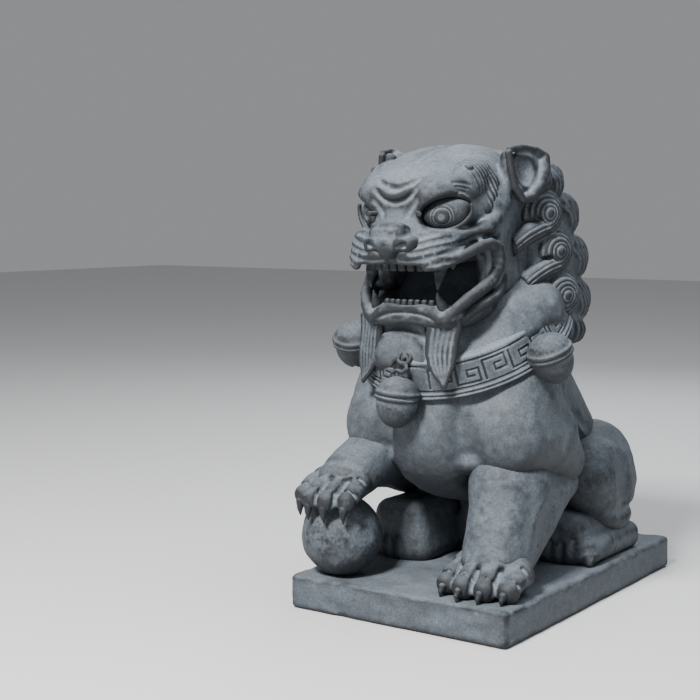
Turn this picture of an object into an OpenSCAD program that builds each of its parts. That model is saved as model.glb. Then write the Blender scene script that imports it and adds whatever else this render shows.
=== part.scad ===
// Seated guardian lion (foo dog) with a ball under its right forepaw, on a rectangular plinth.
// Millimetres. X runs to the lion's left, -Y is the way it faces, +Z is up.
// The origin is the centre of the plinth's underside.

/* [Overall] */
// Height from the ground to the top of the head
overall_height = 1012; // [600:4:1500]

/* [Plinth] */
// Width of the plinth, across the lion
plinth_w = 540; // [520:5:600]
// Depth of the plinth, along the lion
plinth_d = 825; // [815:5:900]
// Thickness of the plinth
plinth_h = 75; // [60:1:80]
// Chamfer round the plinth's top edge
plinth_chamfer = 7; // [3:1:12]

/* [Ball] */
// Diameter of the ball under the right forepaw
ball_d = 180; // [160:2:190]

/* [Bells] */
// Diameter of the three collar bells
bell_d = 94; // [70:2:96]

/* [Face] */
// Diameter of each eyeball
eye_d = 76; // [60:2:84]
// Number of lower front teeth
lower_incisors = 8; // [6:1:8]
// Number of upper front teeth
upper_incisors = 6; // [4:1:6]

/* [Mane] */
// Diameter of the largest mane curl
curl_d = 104; // [80:2:116]
// Number of tiers of curls down the back
curl_tiers = 4; // [3:1:4]

/* [Hidden] */

// Every place below is laid out for a lion of this height, and scaled as a whole
design_height = 1012;
k = overall_height / design_height;
stone = [0.36, 0.39, 0.42];
stone_dark = [0.28, 0.30, 0.33];
stone_light = [0.46, 0.49, 0.52];
// Facets round a blended mass, a limb, a small piece and the cranium
mass_fn = 22;
limb_fn = 18;
small_fn = 16;
head_fn = 20;
left = 1;
right = -1;

// A sphere at a place, with its radius as the fourth number
module ball_at(p, fn = limb_fn) translate([p[0], p[1], p[2]]) sphere(r = p[3], $fn = fn);

// One convex mass wrapped round a list of spheres
module mass(spheres, fn = mass_fn) hull() for (p = spheres) ball_at(p, fn);

// The same mass with every sphere repeated on the other side of the lion
module even_mass(spheres, fn = mass_fn) hull() for (p = spheres, s = [left, right])
    ball_at([s * p[0], p[1], p[2], p[3]], fn);

// A limb: neighbouring spheres of a list joined pair by pair
module limb(spheres, fn = limb_fn) for (i = [0 : len(spheres) - 2]) hull() {
    ball_at(spheres[i], fn);
    ball_at(spheres[i + 1], fn);
}

// Its children on the chosen side: they are drawn for the lion's left
module on_side(side) mirror([side == right ? 1 : 0, 0, 0]) children();

// Turns a piece that points along +Z to point along a direction
module pointing(d) rotate([0, acos(d[2] / norm(d)), atan2(d[1], d[0])]) children();

// Its first child less all the others, so that neighbours meet face to face.
// resize() with zeros keeps the size, and makes the cut one mesh.
module meeting() resize([0, 0, 0]) difference() {
    children(0);
    children([1 : $children - 1]);
}

module plinth() color(stone_dark) {
    translate([-plinth_w / 2, -plinth_d / 2, 0])
        cube([plinth_w, plinth_d, plinth_h - plinth_chamfer]);
    hull() {
        translate([-plinth_w / 2, -plinth_d / 2, plinth_h - plinth_chamfer - 0.01])
            cube([plinth_w, plinth_d, 0.01]);
        translate([plinth_chamfer - plinth_w / 2, plinth_chamfer - plinth_d / 2, plinth_h - 0.01])
            cube([plinth_w - 2 * plinth_chamfer, plinth_d - 2 * plinth_chamfer, 0.01]);
    }
}

// Chest, belly and back, down to the plinth between the haunches
module torso() color(stone) {
    even_mass([[75, -165, 445, 156], [60, -170, 385, 140], [60, -80, 600, 122]]);
    even_mass([[57, -131, 377, 121], [71, 163, 279, 117], [52, 43, 557, 89], [63, -22, 328, 119]]);
    even_mass([[73, 247, 219, 107], [83, 151, 301, 91], [67, 206, plinth_h + 40, 60]]);
    even_mass([[47, 44, plinth_h + 30, 51], [59, 188, plinth_h + 30, 53], [64, 66, 262, 83]]);
}

// Upright flame-shaped tail lying against the rump
module tail() color(stone) mass([[0, 358, 130, 26], [0, 352, 210, 42], [0, 318, 300, 34],
                                 [0, 268, 375, 18]], limb_fn);

// Upper arm, from the collar down to the crease above the foreleg
module shoulder() color(stone)
    mass([[150, -150, 490, 92], [142, -205, 400, 98], [176, -70, 385, 70], [184, -20, 325, 42]]);

// The forearm that stands on the plinth
module left_foreleg() color(stone) {
    mass([[150, -235, 290, 62], [178, -190, 290, 66], [190, -20, 262, 34]], limb_fn);
    mass([[150, -235, 290, 62], [178, -190, 290, 66], [150, -290, 150, 56], [186, -280, 140, 58]], limb_fn);
    mass([[190, -20, 262, 34], [178, -190, 290, 60], [178, -262, plinth_h + 38, 38]], limb_fn);
}

// The forearm that reaches forward over the ball
module right_foreleg() color(stone) {
    mass([[-160, -235, 330, 62], [-200, -215, 330, 56], [-172, -330, 275, 48], [-206, -330, 275, 44]], limb_fn);
    mass([[-175, -200, 304, 62], [-206, -46, 262, 54]], limb_fn);
}

// Toe line of a forepaw: [place of the knuckle, its radius], outermost last
left_toes = [[98, -352, plinth_h + 24, 26], [144, -366, plinth_h + 25, 28],
             [192, -362, plinth_h + 25, 28], [237, -344, plinth_h + 24, 27]];
right_toes = [[-124, -404, 252, 24], [-164, -420, 252, 26],
              [-206, -418, 254, 26], [-242, -398, 256, 23]];

module left_forepaw() color(stone) {
    mass([[120, -290, plinth_h + 45, 45], [210, -285, plinth_h + 45, 45], [170, -250, plinth_h + 40, 40]], limb_fn);
    for (t = left_toes) mass([t, [t[0] * 0.94 + 10, t[1] + 62, t[2] + 16, 27]], small_fn);
}

module right_forepaw() color(stone) {
    mass([[-150, -345, 280, 36], [-214, -340, 282, 36]], limb_fn);
    for (t = right_toes) mass([t, [t[0] * 0.94 - 11, t[1] + 60, t[2] + 24, 25]], small_fn);
}

// Claws are short cones that lean forward and down from the toes
claw_length = 34;
module claw(tip, root) {
    direction = tip - root;
    translate(root) pointing(direction) cylinder(h = norm(direction), r1 = 9, r2 = 2.5, $fn = 24);
}

module left_claws() color(stone_dark) for (t = left_toes)
    claw([t[0], t[1] - claw_length, plinth_h + 3], [t[0], t[1] - 18, t[2] - 4]);

module right_claws() color(stone_dark) for (t = right_toes)
    claw([t[0] * 1.01, t[1] - 14, t[2] - claw_length - 22], [t[0], t[1] - 14, t[2] - 12]);

ball_centre = [-185, -338, plinth_h + ball_d / 2 - 4];
// The ball rests on a flat ground a little into the sphere
module ball() color(stone_light) intersection() {
    translate(ball_centre) sphere(d = ball_d, $fn = 72);
    translate([ball_centre[0] - ball_d / 2, ball_centre[1] - ball_d / 2, plinth_h])
        cube([ball_d, ball_d, ball_d]);
}

// Folded thigh
module haunch() color(stone)
    mass([[160, 225, 300, 78], [158, 240, 240, 94], [190, 120, 262, 66], [168, 225, 165, 78]]);

// Hind foot: a long plain block on the plinth, lower on its outer side.
// The right one reaches further forward than the left
left_hind_front = 0;
right_hind_front = -165;
module hind_paw(front) color(stone)
    mass([[130, 250, plinth_h + 43, 46], [130, 240, plinth_h + 72, 44],
          [130, front + 46, plinth_h + 43, 46], [130, front + 48, plinth_h + 80, 42],
          [222, front + 34, plinth_h + 33, 34], [214, front + 40, plinth_h + 49, 34],
          [222, 240, plinth_h + 33, 34]], limb_fn);

// Cranium, muzzle and the side plates of the cheeks; the mouth stays open below it
module head() color(stone) {
    even_mass([[85, -150, 915, 95], [50, -330, 900, 72], [96, -300, 905, 54], [97, -64, 876, 98]], head_fn);
    even_mass([[70, -395, 790, 48], [60, -300, 830, 60], [50, -414, 780, 38]]);
    for (s = [left, right]) {
        mass([[s * 142, -210, 800, 34], [s * 148, -150, 740, 30], [s * 136, -130, 900, 46],
              [s * 98, -330, 800, 34]]);
        mass([[s * 152, -160, 710, 28], [s * 150, -110, 820, 34]], limb_fn);
    }
    even_mass([[80, -60, 720, 90], [80, -90, 820, 80]]);
}

module nose() color(stone)
    even_mass([[24, -436, 818, 28], [38, -426, 806, 26], [14, -400, 840, 24]], limb_fn);

// Jaw: a floor and a lip that runs round it from cheek to cheek
jaw_lip = [[158, -172, 700, 22], [128, -268, 682, 22], [88, -352, 662, 24]];
module lower_jaw() color(stone) {
    even_mass([[57, -327, 657, 25], [100, -230, 672, 27], [111, -161, 681, 29]], limb_fn);
    for (s = [left, right]) limb([for (p = jaw_lip) [s * p[0], p[1], p[2], p[3]]], limb_fn);
    even_mass([jaw_lip[2]], limb_fn);
}

// A row of small rounded teeth on an arc across the front of the mouth
module tooth_row(count, span, reach, z, size) for (i = [0 : count - 1]) {
    t = (i + 0.5) / count * 2 - 1;
    translate([t * span, reach + 26 * t * t, z]) scale(size) sphere(r = 1, $fn = 24);
}

module upper_teeth() color(stone_light) {
    tooth_row(upper_incisors, 58, -392, 744, 8.5);
    for (s = [left, right]) claw_tooth([s * 83, -373, 714], [s * 82, -366, 762]);
}

module lower_teeth() color(stone_light) {
    tooth_row(lower_incisors, 56, -374, 684, 6.5);
    for (s = [left, right]) claw_tooth([s * 80, -370, 705], [s * 84, -348, 668]);
}

module claw_tooth(tip, root) {
    direction = tip - root;
    translate(root) pointing(direction) cylinder(h = norm(direction), r1 = 15, r2 = 3, $fn = 24);
}

module eye() color(stone_dark) translate([98, -331, 862]) sphere(d = eye_d, $fn = 48);

// Brow: a heavy ridge rising outwards and ending in a spiral boss
module brow() color(stone) {
    limb([[48, -388, 880, 14], [88, -376, 905, 16], [112, -340, 930, 24]], small_fn);
    ball_at([112, -306, 938, 34], limb_fn);
}

// Ear: an upright cup whose mouth looks forward and outward
ear_facing = [0.75, -0.66, 0.05];
module ear() color(stone) difference() {
    mass([[162, -160, 970, 38], [168, -150, 912, 26], [150, -120, 965, 42]], limb_fn);
    translate([184, -190, 958]) pointing(ear_facing) translate([0, 0, -16])
        cylinder(h = 60, r1 = 14, r2 = 44, $fn = 32);
}

// Beards hang from the corners of the jaw over the collar; the right one spreads outwards
module left_beard() color(stone) limb([[80, -332, 638, 30], [76, -332, 600, 28], [76, -332, 558, 22],
                                       [86, -346, 514, 8]], small_fn);
module right_beard() color(stone) limb([[-106, -320, 638, 28], [-110, -316, 600, 27], [-121, -310, 556, 22],
                                        [-144, -308, 506, 8]], small_fn);

// The body of hair that frames the head and falls on the back
module mane() color(stone_dark) {
    even_mass([[95, -60, 900, 95], [110, -10, 820, 100], [100, 60, 820, 90]]);
    even_mass([[110, -10, 820, 100], [115, 60, 640, 105], [130, -30, 640, 85], [90, 70, 600, 80]]);
}

// A curl: a disc on the mane with a round knob at its centre
module curl(centre, facing, size) translate(centre) pointing(facing) {
    translate([0, 0, -size * 0.35]) cylinder(h = size * 0.45, d1 = size, d2 = size * 0.72, $fn = 32);
    sphere(d = size * 0.36, $fn = 24);
}

// Side curls: [place, share of the largest curl's size]
side_curls = [[[193, -88, 874], 0.96], [[206, -62, 782], 1], [[212, -46, 690], 1]];
side_facing = [1, 0.12, 0];
module side_mane_curls() color(stone_dark)
    for (c = side_curls) curl(c[0], side_facing, curl_d * c[1]);

// Back curls stand in tiers, three across: [height, place of the tier's middle, its roundness]
back_tiers = [[896, -22, 96], [804, 52, 92], [706, 56, 98], [612, 58, 100]];
back_corner = 108;
module back_mane_curls() color(stone_dark)
    for (t = [for (i = [0 : curl_tiers - 1]) back_tiers[i]], turn = [-1, 0, 1]) {
        facing = [sin(60 * turn), cos(60 * turn), 0];
        curl([turn * back_corner, t[1], t[0]] + facing * t[2], facing, curl_d * 0.95);
    }

// Tilted band whose front hangs on the chest and whose ends go up under the mane
collar_radius = 240;
collar_tilt = 29;
collar_arc = 230;
module collar() color(stone_light) translate([0, -121, 592]) rotate([collar_tilt, 0, 0])
    rotate([0, 0, 270 - collar_arc / 2]) rotate_extrude(angle = collar_arc, $fn = 96)
        polygon([[collar_radius - 38, -4], [collar_radius, -4], [collar_radius - 22, 80],
                 [collar_radius - 60, 80]]);

module collar_knot() color(stone_light) translate([-16, -346, 550]) rotate([61, 0, 0])
    rotate_extrude($fn = 48) translate([15, 0]) circle(r = 8, $fn = 24);

// A crotal bell: a dome and a bowl either side of a raised band
module bell_at(p, facing) color(stone_light) translate(p) pointing(facing) {
    sphere(d = bell_d, $fn = 48);
    translate([0, 0, -bell_d * 0.04]) cylinder(h = bell_d * 0.08, d = bell_d * 1.06, $fn = 48);
}
module chest_bell() bell_at([-27, -358, 470], [0, -0.15, 1]);
module left_bell() bell_at([260, -212, 568], [0.3, -0.25, 1]);
module right_bell() bell_at([-242, -206, 570], [-0.3, -0.25, 1]);

// The carved masses as they meet: each is cut back by the ones named after it
module torso_node() meeting() { torso(); plinth(); }
module head_node() meeting() { head(); torso(); }
module jaw_node() meeting() { lower_jaw(); head(); torso(); }
module mane_node() meeting() { mane(); head(); torso(); }
module shoulder_node() meeting() { shoulder(); torso(); }
module left_foreleg_node() meeting() { left_foreleg(); shoulder(); torso(); plinth(); }
module right_foreleg_node() meeting() { right_foreleg(); on_side(right) shoulder(); torso(); }
module left_forepaw_node() meeting() { left_forepaw(); left_foreleg(); plinth(); }
module right_forepaw_node() meeting() { right_forepaw(); right_foreleg(); ball(); }
module haunch_node() meeting() { haunch(); torso(); }
module hind_paw_node(front) meeting() { hind_paw(front); haunch(); torso(); plinth(); }
module tail_node() meeting() { tail(); torso(); plinth(); }

scale(k) plinth();
scale(k) torso_node();  // torso
scale(k) tail_node();  // tail
scale(k) shoulder_node();  // left_shoulder
scale(k) on_side(right) shoulder_node();  // right_shoulder
scale(k) left_foreleg_node();  // left_foreleg
scale(k) right_foreleg_node();  // right_foreleg
scale(k) left_forepaw_node();  // left_forepaw
scale(k) right_forepaw_node();  // right_forepaw
scale(k) left_claws();
scale(k) right_claws();
scale(k) ball();
scale(k) haunch_node();  // left_haunch
scale(k) on_side(right) haunch_node();  // right_haunch
scale(k) hind_paw_node(left_hind_front);  // left_hind_paw
scale(k) on_side(right) hind_paw_node(right_hind_front);  // right_hind_paw
scale(k) head_node();  // head
scale(k) nose();
scale(k) jaw_node();  // lower_jaw
scale(k) upper_teeth();
scale(k) lower_teeth();
scale(k) eye();  // left_eye
scale(k) on_side(right) eye();  // right_eye
scale(k) brow();  // left_brow
scale(k) on_side(right) brow();  // right_brow
scale(k) ear();  // left_ear
scale(k) on_side(right) ear();  // right_ear
scale(k) left_beard();
scale(k) right_beard();
scale(k) mane_node();  // mane
scale(k) side_mane_curls();  // left_mane_curls
scale(k) on_side(right) side_mane_curls();  // right_mane_curls
scale(k) back_mane_curls();
scale(k) collar();
scale(k) collar_knot();
scale(k) chest_bell();
scale(k) left_bell();
scale(k) right_bell();
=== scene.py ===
"""Sculpts the seated guardian lion over its CAD frame. It faces -Y, and +Z is up.

The clay is worked in millimetres, and make_mesh turns them into Blender's metres.
"""

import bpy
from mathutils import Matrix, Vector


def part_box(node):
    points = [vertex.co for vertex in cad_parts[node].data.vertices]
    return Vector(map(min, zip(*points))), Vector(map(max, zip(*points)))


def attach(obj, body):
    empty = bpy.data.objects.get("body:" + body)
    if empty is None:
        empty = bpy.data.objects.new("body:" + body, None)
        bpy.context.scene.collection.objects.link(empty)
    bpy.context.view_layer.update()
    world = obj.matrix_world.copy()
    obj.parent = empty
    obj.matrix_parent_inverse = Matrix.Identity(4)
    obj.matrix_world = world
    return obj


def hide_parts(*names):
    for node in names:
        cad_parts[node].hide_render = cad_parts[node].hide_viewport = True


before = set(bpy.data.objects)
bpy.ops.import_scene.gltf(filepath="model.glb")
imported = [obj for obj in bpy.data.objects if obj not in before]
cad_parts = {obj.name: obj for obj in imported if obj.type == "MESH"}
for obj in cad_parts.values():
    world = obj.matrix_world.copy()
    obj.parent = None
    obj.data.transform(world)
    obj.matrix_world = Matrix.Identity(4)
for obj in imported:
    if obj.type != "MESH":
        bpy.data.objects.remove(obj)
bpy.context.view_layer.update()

import math

import bpy
import numpy as np
import openvdb
from mathutils import Vector


# ---------------------------------------------------------------- modelling clay, in millimetres

FAR = 60
LEFT, RIGHT = 1, -1


def turning(angles):
    """A rotation matrix from angles about X, Y and Z in degrees, applied in that order."""
    a, b, c = (math.radians(v) for v in angles)
    about_x = np.array([[1, 0, 0], [0, math.cos(a), -math.sin(a)], [0, math.sin(a), math.cos(a)]])
    about_y = np.array([[math.cos(b), 0, math.sin(b)], [0, 1, 0], [-math.sin(b), 0, math.cos(b)]])
    about_z = np.array([[math.cos(c), -math.sin(c), 0], [math.sin(c), math.cos(c), 0], [0, 0, 1]])
    return about_z @ about_y @ about_x


def unit(vector):
    return np.array(vector, float) / np.linalg.norm(vector)


def facing(direction, up=(0, 0, 1)):
    """A rotation matrix whose third column is the direction, and whose second leans towards up."""
    w = unit(direction)
    u = unit(np.cross(up, w))
    return np.stack([u, np.cross(w, u), w], axis=1)


def local(x, y, z, centre, matrix):
    """Grid coordinates in a frame at the centre, turned by the matrix."""
    x, y, z = x - centre[0], y - centre[1], z - centre[2]
    if matrix is None:
        return x, y, z
    return tuple(matrix[0, i] * x + matrix[1, i] * y + matrix[2, i] * z for i in range(3))


def as_matrix(turn):
    return turn if turn is None or isinstance(turn, np.ndarray) else turning(turn)


def egg(centre, radii, turn=None):
    """An ellipsoid."""
    matrix = as_matrix(turn)
    a, b, c = radii

    def distance(x, y, z):
        u, v, w = local(x, y, z, centre, matrix)
        near = np.sqrt((u / a) ** 2 + (v / b) ** 2 + (w / c) ** 2)
        steep = np.sqrt((u / a**2) ** 2 + (v / b**2) ** 2 + (w / c**2) ** 2)
        return near * (near - 1) / np.maximum(steep, 1e-9)

    reach = np.array(radii) if matrix is None else np.full(3, max(radii))
    return distance, centre - reach, centre + reach


def lump(x, y, z, a, b, c, turn=None):
    """An ellipsoid, by its centre and radii."""
    return egg((x, y, z), (a, b, c), turn)


def slab(centre, half, rounding, turn=None):
    """A box with rounded edges."""
    matrix = as_matrix(turn)

    def distance(x, y, z):
        u, v, w = (abs(value) - h + rounding for value, h in zip(local(x, y, z, centre, matrix), half))
        outside = np.sqrt(np.maximum(u, 0) ** 2 + np.maximum(v, 0) ** 2 + np.maximum(w, 0) ** 2)
        return outside + np.minimum(np.maximum(np.maximum(u, v), w), 0) - rounding

    reach = np.array(half) if matrix is None else np.full(3, np.linalg.norm(half))
    return distance, centre - reach, centre + reach


def bone(a, b):
    """A tapered rod with round ends, between two points that each have a radius as their fourth number."""
    start, end = np.array(a[:3], float), np.array(b[:3], float)
    along = end - start
    length2 = max(float(along @ along), 1e-6)

    def distance(x, y, z):
        x, y, z = x - start[0], y - start[1], z - start[2]
        t = np.clip((x * along[0] + y * along[1] + z * along[2]) / length2, 0, 1)
        gap = (x - t * along[0]) ** 2 + (y - t * along[1]) ** 2 + (z - t * along[2]) ** 2
        return np.sqrt(gap) - (a[3] + t * (b[3] - a[3]))

    return distance, np.minimum(start - a[3], end - b[3]), np.maximum(start + a[3], end + b[3])


def rods(*points):
    """Tapered rods through points given as x, y, z, radius."""
    return [bone(a, b) for a, b in zip(points, points[1:])]


def smooth_path(points, steps):
    """A Catmull-Rom curve through the points, with a number of steps between each pair."""
    p = np.array(points, float)
    p = np.vstack([2 * p[0] - p[1], p, 2 * p[-1] - p[-2]])
    t = np.linspace(0, 1, steps, endpoint=False)[:, None]
    out = []
    for p0, p1, p2, p3 in zip(p, p[1:], p[2:], p[3:]):
        out.append(0.5 * (2 * p1 + (p2 - p0) * t + (2 * p0 - 5 * p1 + 4 * p2 - p3) * t**2
                          + (3 * p1 - p0 - 3 * p2 + p3) * t**3))
    return np.vstack(out + [p[-2:-1]])


def between(base, share, value_at):
    """Mixes the values at the eight grid corners round each point."""
    total = 0
    for corner in np.ndindex(2, 2, 2):
        weight = np.prod(np.where(corner, share, 1 - share), axis=-1)
        total = total + weight * value_at(*(base[..., n] + corner[n] for n in range(3)))
    return total


class Clay:
    """A signed distance to the surface on a grid, negative inside.

    Even clay is modelled for x > 0 only and mirrored when it is cast.
    """

    def __init__(self, low, high, cell, even=False):
        self.cell = cell * 1
        self.even = even
        self.low = np.array(low, float) - 4 * self.cell
        if even:
            self.low[0] = self.cell / 2
        counts = np.ceil((np.array(high, float) + 4 * self.cell - self.low) / self.cell).astype(int) + 1
        self.axes = [(start + self.cell * np.arange(n)).astype(np.float32) for start,
                     n in zip(self.low, counts)]
        self.field = np.full(counts, FAR, np.float32)

    def window(self, low, high, margin):
        """The slices of the grid round a box, and their coordinates."""
        counts = self.field.shape
        first = np.clip(np.floor((low - margin - self.low) / self.cell).astype(int), 0, counts)
        last = np.clip(np.ceil((high + margin - self.low) / self.cell).astype(int) + 1, 0, counts)
        if (last <= first).any():
            return None, None
        slices = tuple(slice(a, b) for a, b in zip(first, last))
        return slices, np.ix_(*(axis[s] for axis, s in zip(self.axes, slices)))

    def gather(self, shapes, margin):
        """The least distance to several shapes, in a window round them all."""
        low = np.min([s[1] for s in shapes], axis=0)
        high = np.max([s[2] for s in shapes], axis=0)
        slices, axes = self.window(low, high, margin)
        if slices is None or len(shapes) == 1:
            return slices, slices and shapes[0][0](*axes)
        least = np.full([s.stop - s.start for s in slices], FAR, np.float32)
        for distance, low, high in shapes:
            small, axes = self.window(low, high, margin)
            if small is not None:
                inner = tuple(slice(a.start - b.start, a.stop - b.start) for a, b in zip(small, slices))
                least[inner] = np.minimum(least[inner], distance(*axes))
        return slices, least

    def merge(self, shapes, blend, sign):
        """Joins shapes to the clay (sign 1), or takes them away (sign -1), with a soft seam."""
        shapes = shapes if isinstance(shapes, list) else [shapes]
        slices, other = self.gather(shapes, blend + 3 * self.cell)
        if slices is not None:
            mine = sign * self.field[slices]
            soft = np.maximum(blend - abs(mine - other), 0) / blend
            self.field[slices] = sign * (np.minimum(mine, other) - soft**2 * blend / 4)

    def add(self, shapes, blend):
        self.merge(shapes, blend, 1)

    def cut(self, shapes, blend):
        self.merge(shapes, blend, -1)

    def stand(self, level, blend):
        """Cuts the clay off below a level."""
        below = (level - self.axes[2])[None, None, :]
        soft = np.maximum(blend - abs(self.field - below), 0) / blend
        self.field = (np.maximum(self.field, below) + soft**2 * blend / 4).astype(np.float32)

    def sample(self, points):
        """The distance at points, from the nearest grid corners."""
        p = np.array(points, float)
        if self.even:
            p[..., 0] = abs(p[..., 0])
        q = (p - self.low) / self.cell
        base = np.clip(np.floor(q).astype(int), 0, np.array(self.field.shape) - 2)
        return between(base, np.clip(q - base, 0, 1), lambda i, j, k: self.field[i, j, k])

    def onto(self, points, direction, reach=120):
        """Slides points along a direction to the surface, starting from outside it."""
        points = np.array(points, float)
        direction = unit(direction)
        steps = np.arange(-reach, reach, self.cell / 2)
        inside = self.sample(points[:, None, :] + steps[None, :, None] * direction) < 0
        first = np.argmax(inside, axis=1)
        first[~inside.any(axis=1)] = len(steps) // 2
        return points + steps[first][:, None] * direction

    def stroke(self, points, direction, width, blend=3, depth=0, raised=False):
        """Draws along the surface: a groove, or a raised cord.

        The points may give their own share of the width as a fourth number.
        """
        path = smooth_path([p if len(p) == 4 else (*p, 1) for p in points], 6)
        line = self.onto(path[:, :3], direction)
        line[1:-1] = (line[:-2] + 2 * line[1:-1] + line[2:]) / 4
        line = line - unit(direction) * depth
        order = np.arange(len(line))
        taper = np.clip(np.minimum(order, order[::-1]) / max(len(line) * 0.12, 1), 0, 1)
        size = np.maximum(path[:, 3], 0.05) * width / 2 * (0.35 + 0.65 * taper)
        self.merge(rods(*np.column_stack([line, size])), blend, 1 if raised else -1)

    def ripple(self, low, high, height, band=12):
        """Adds height(x, y, z) to the surface inside a box."""
        slices, axes = self.window(np.array(low), np.array(high), 0)
        near = np.clip(1.5 - abs(self.field[slices]) / band, 0, 1)
        self.field[slices] -= (height(*axes) * near).astype(np.float32)

    def unfold(self):
        """Gives even clay its other half, so that what follows need not be even."""
        if self.even:
            self.field = np.concatenate([self.field[::-1], self.field])
            self.axes[0] = np.concatenate([-self.axes[0][::-1], self.axes[0]])
            self.low[0] = self.axes[0][0]
            self.even = False

    def cast(self, name, grain):
        """The surface as a Blender mesh object, with a grain of so many millimetres."""
        self.unfold()
        band = 3 * self.cell
        grid = openvdb.FloatGrid(band)
        grid.copyFromArray(np.ascontiguousarray(np.clip(self.field, -band, band)))
        corners, quads = grid.convertToQuads(isovalue=0.0)
        corners = self.low + np.array(corners, float) * self.cell
        corners, quads = largest_shell(corners, np.array(quads)[:, ::-1])
        return weathered(name, relax(corners, quads), quads, grain)


def largest_shell(corners, quads, least=0.02):
    """Drops loose crumbs: shells with fewer than a share of the faces."""
    label = np.arange(len(corners))
    while True:
        low = label[quads].min(axis=1)
        new = label.copy()
        for i in range(4):
            np.minimum.at(new, quads[:, i], low)
        new = new[new]
        if (new == label).all():
            break
        label = new
    of_face = label[quads[:, 0]]
    names, counts = np.unique(of_face, return_counts=True)
    quads = quads[np.isin(of_face, names[counts >= least * counts.max()])]
    used, flat = np.unique(quads, return_inverse=True)
    return corners[used], flat.reshape(quads.shape)


def relax(corners, quads):
    """Moves each corner half of the way to the middle of its neighbours."""
    total = np.zeros_like(corners)
    count = np.zeros(len(corners))
    for i in range(4):
        for j in (i - 1, (i + 1) % 4):
            for axis in range(3):
                total[:, axis] += np.bincount(quads[:, i], corners[quads[:, j], axis], len(corners))
            count += np.bincount(quads[:, i], minlength=len(corners))
    return (corners + total / np.maximum(count, 1)[:, None]) / 2


def corner_normals(corners, quads):
    a, b, c, d = (corners[quads[:, i]] for i in range(4))
    flat = np.cross(c - a, d - b)
    total = np.zeros_like(corners)
    for i in range(4):
        for axis in range(3):
            total[:, axis] += np.bincount(quads[:, i], flat[:, axis], len(corners))
    return total / np.maximum(np.linalg.norm(total, axis=1), 1e-12)[:, None]


def lattice_noise(points, size, seed):
    """Smooth noise from -1 to 1 whose bumps are about the given size."""
    table = np.random.default_rng(seed).uniform(-1, 1, (32, 32, 32))
    q = points / size + 100
    base = np.floor(q).astype(int)
    f = q - base
    return between(base, f * f * (3 - 2 * f), lambda i, j, k: table[i % 32, j % 32, k % 32])


def weathered(name, corners, quads, grain):
    """A mesh object with the unevenness of hand-cut stone."""
    broad = lattice_noise(corners, 34, 1)
    middle = lattice_noise(corners, 14, 2)
    fine = lattice_noise(corners, 6, 3)
    pits = np.minimum(lattice_noise(corners, 4.5, 4) + 0.62, 0)
    rough = grain * (1.3 * broad + 0.7 * middle + 0.35 * fine + 1.2 * pits)
    return make_mesh(name, corners + corner_normals(corners, quads) * rough[:, None], quads)


def make_mesh(name, corners, faces):
    """A Blender mesh object from corners, and faces that all have four sides."""
    faces = np.asarray(faces, np.int32)
    mesh = bpy.data.meshes.new(name)
    mesh.vertices.add(len(corners))
    mesh.vertices.foreach_set("co", (np.asarray(corners) / 1000).astype(np.float32).ravel())
    mesh.loops.add(faces.size)
    mesh.loops.foreach_set("vertex_index", faces.ravel())
    mesh.polygons.add(len(faces))
    mesh.polygons.foreach_set("loop_start", np.arange(0, faces.size, 4, dtype=np.int32))
    mesh.polygons.foreach_set("use_smooth", np.ones(len(faces), bool))
    mesh.update(calc_edges=True)
    piece = bpy.data.objects.new(name, mesh)
    bpy.context.scene.collection.objects.link(piece)
    return piece


def side_piece(clay, name, side, grain, inset=0):
    """Casts clay modelled for the left; for the right it is mirrored, and moved inwards by the inset."""
    piece = clay.cast(name, grain)
    if side == RIGHT:
        mesh = piece.data
        co = np.empty(len(mesh.vertices) * 3, np.float32)
        mesh.vertices.foreach_get("co", co)
        co[::3] = inset / 1000 - co[::3]
        mesh.vertices.foreach_set("co", co)
        mesh.flip_normals()
        mesh.update()
    return piece


def box_of(node):
    low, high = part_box(node)
    return np.array(low) * 1000, np.array(high) * 1000


STONES = []


def use(piece, nodes=None):
    """Puts a piece in place of CAD nodes: the ones listed, or else the one that it is named after."""
    nodes = nodes or [piece.name.split(".")[0]]
    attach(piece, "root")
    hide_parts(*nodes)
    STONES.append(piece)


# ---------------------------------------------------------------- plinth and ball

def make_plinth():
    low, high = box_of("plinth")
    middle, half = (low + high) / 2, (high - low) / 2
    half = half + 1
    clay = Clay(low, high, 5.2)
    clay.add(slab(middle, half, 9), 2)
    chips = np.random.default_rng(11)
    for _ in range(46):
        side = chips.integers(0, 4)
        along = chips.uniform(-1, 1)
        spot = [(1, along), (-1, along), (along, 1), (along, -1)][side]
        size = chips.uniform(4, 11)
        centre = (middle[0] + spot[0] * (half[0] + size * 0.35),
                  middle[1] + spot[1] * (half[1] + size * 0.35), high[2] + size * chips.uniform(0.2, 0.5))
        clay.cut(egg(centre, (size * chips.uniform(1, 2.2), size * chips.uniform(1, 2.2), size * 0.9),
                     (0, 0, chips.uniform(0, 90))), 6)
    for _ in range(30):
        spot = chips.uniform(-1, 1, 2) * half[:2]
        wide = chips.uniform(20, 60)
        clay.cut(egg((*spot, high[2] + 0.5), (wide, wide * 0.7, 2.2), (0, 0, chips.uniform(0, 90))), 4)
    for side in (-1, 1):
        for _ in range(14):
            y, z = chips.uniform(-390, 390), chips.uniform(15, 60)
            clay.cut(egg((side * (half[0] + 1), y, z), (3, 22, 12)), 4)
        for _ in range(9):
            x, z = chips.uniform(-240, 240), chips.uniform(15, 60)
            clay.cut(egg((x, side * (half[1] + 1), z), (22, 3, 12)), 4)
    clay.stand(low[2], 0.001)
    return clay.cast("plinth", 0.7)


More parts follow.
